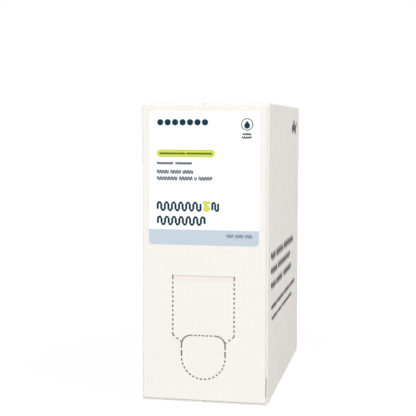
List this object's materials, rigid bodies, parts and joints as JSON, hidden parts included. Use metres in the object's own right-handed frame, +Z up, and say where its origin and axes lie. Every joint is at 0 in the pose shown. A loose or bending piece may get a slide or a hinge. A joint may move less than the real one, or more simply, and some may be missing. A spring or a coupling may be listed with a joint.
{
  "type": "hand soap refill pack",
  "caption": "Sealed bag-in-box refill carton for liquid hand soap: a tall folded corrugated box with a front label and a perforated tap tear-out.",
  "frame": {"origin": "middle of the base, on the surface that the pack stands on", "axes": "+Z up along the pack's height, -Y out of the narrow front panel with the label and the tear-out, X across the front panel"},
  "size_m": [0.0842, 0.1752, 0.198],
  "materials": {
    "board": "white-lined corrugated board, matt, with a faint warm tone",
    "label_paper": "smooth white label paper, slight sheen"
  },
  "bodies": {
    "root": {"carton": "board", "front_label": "label_paper"}
  },
  "joints": []
}
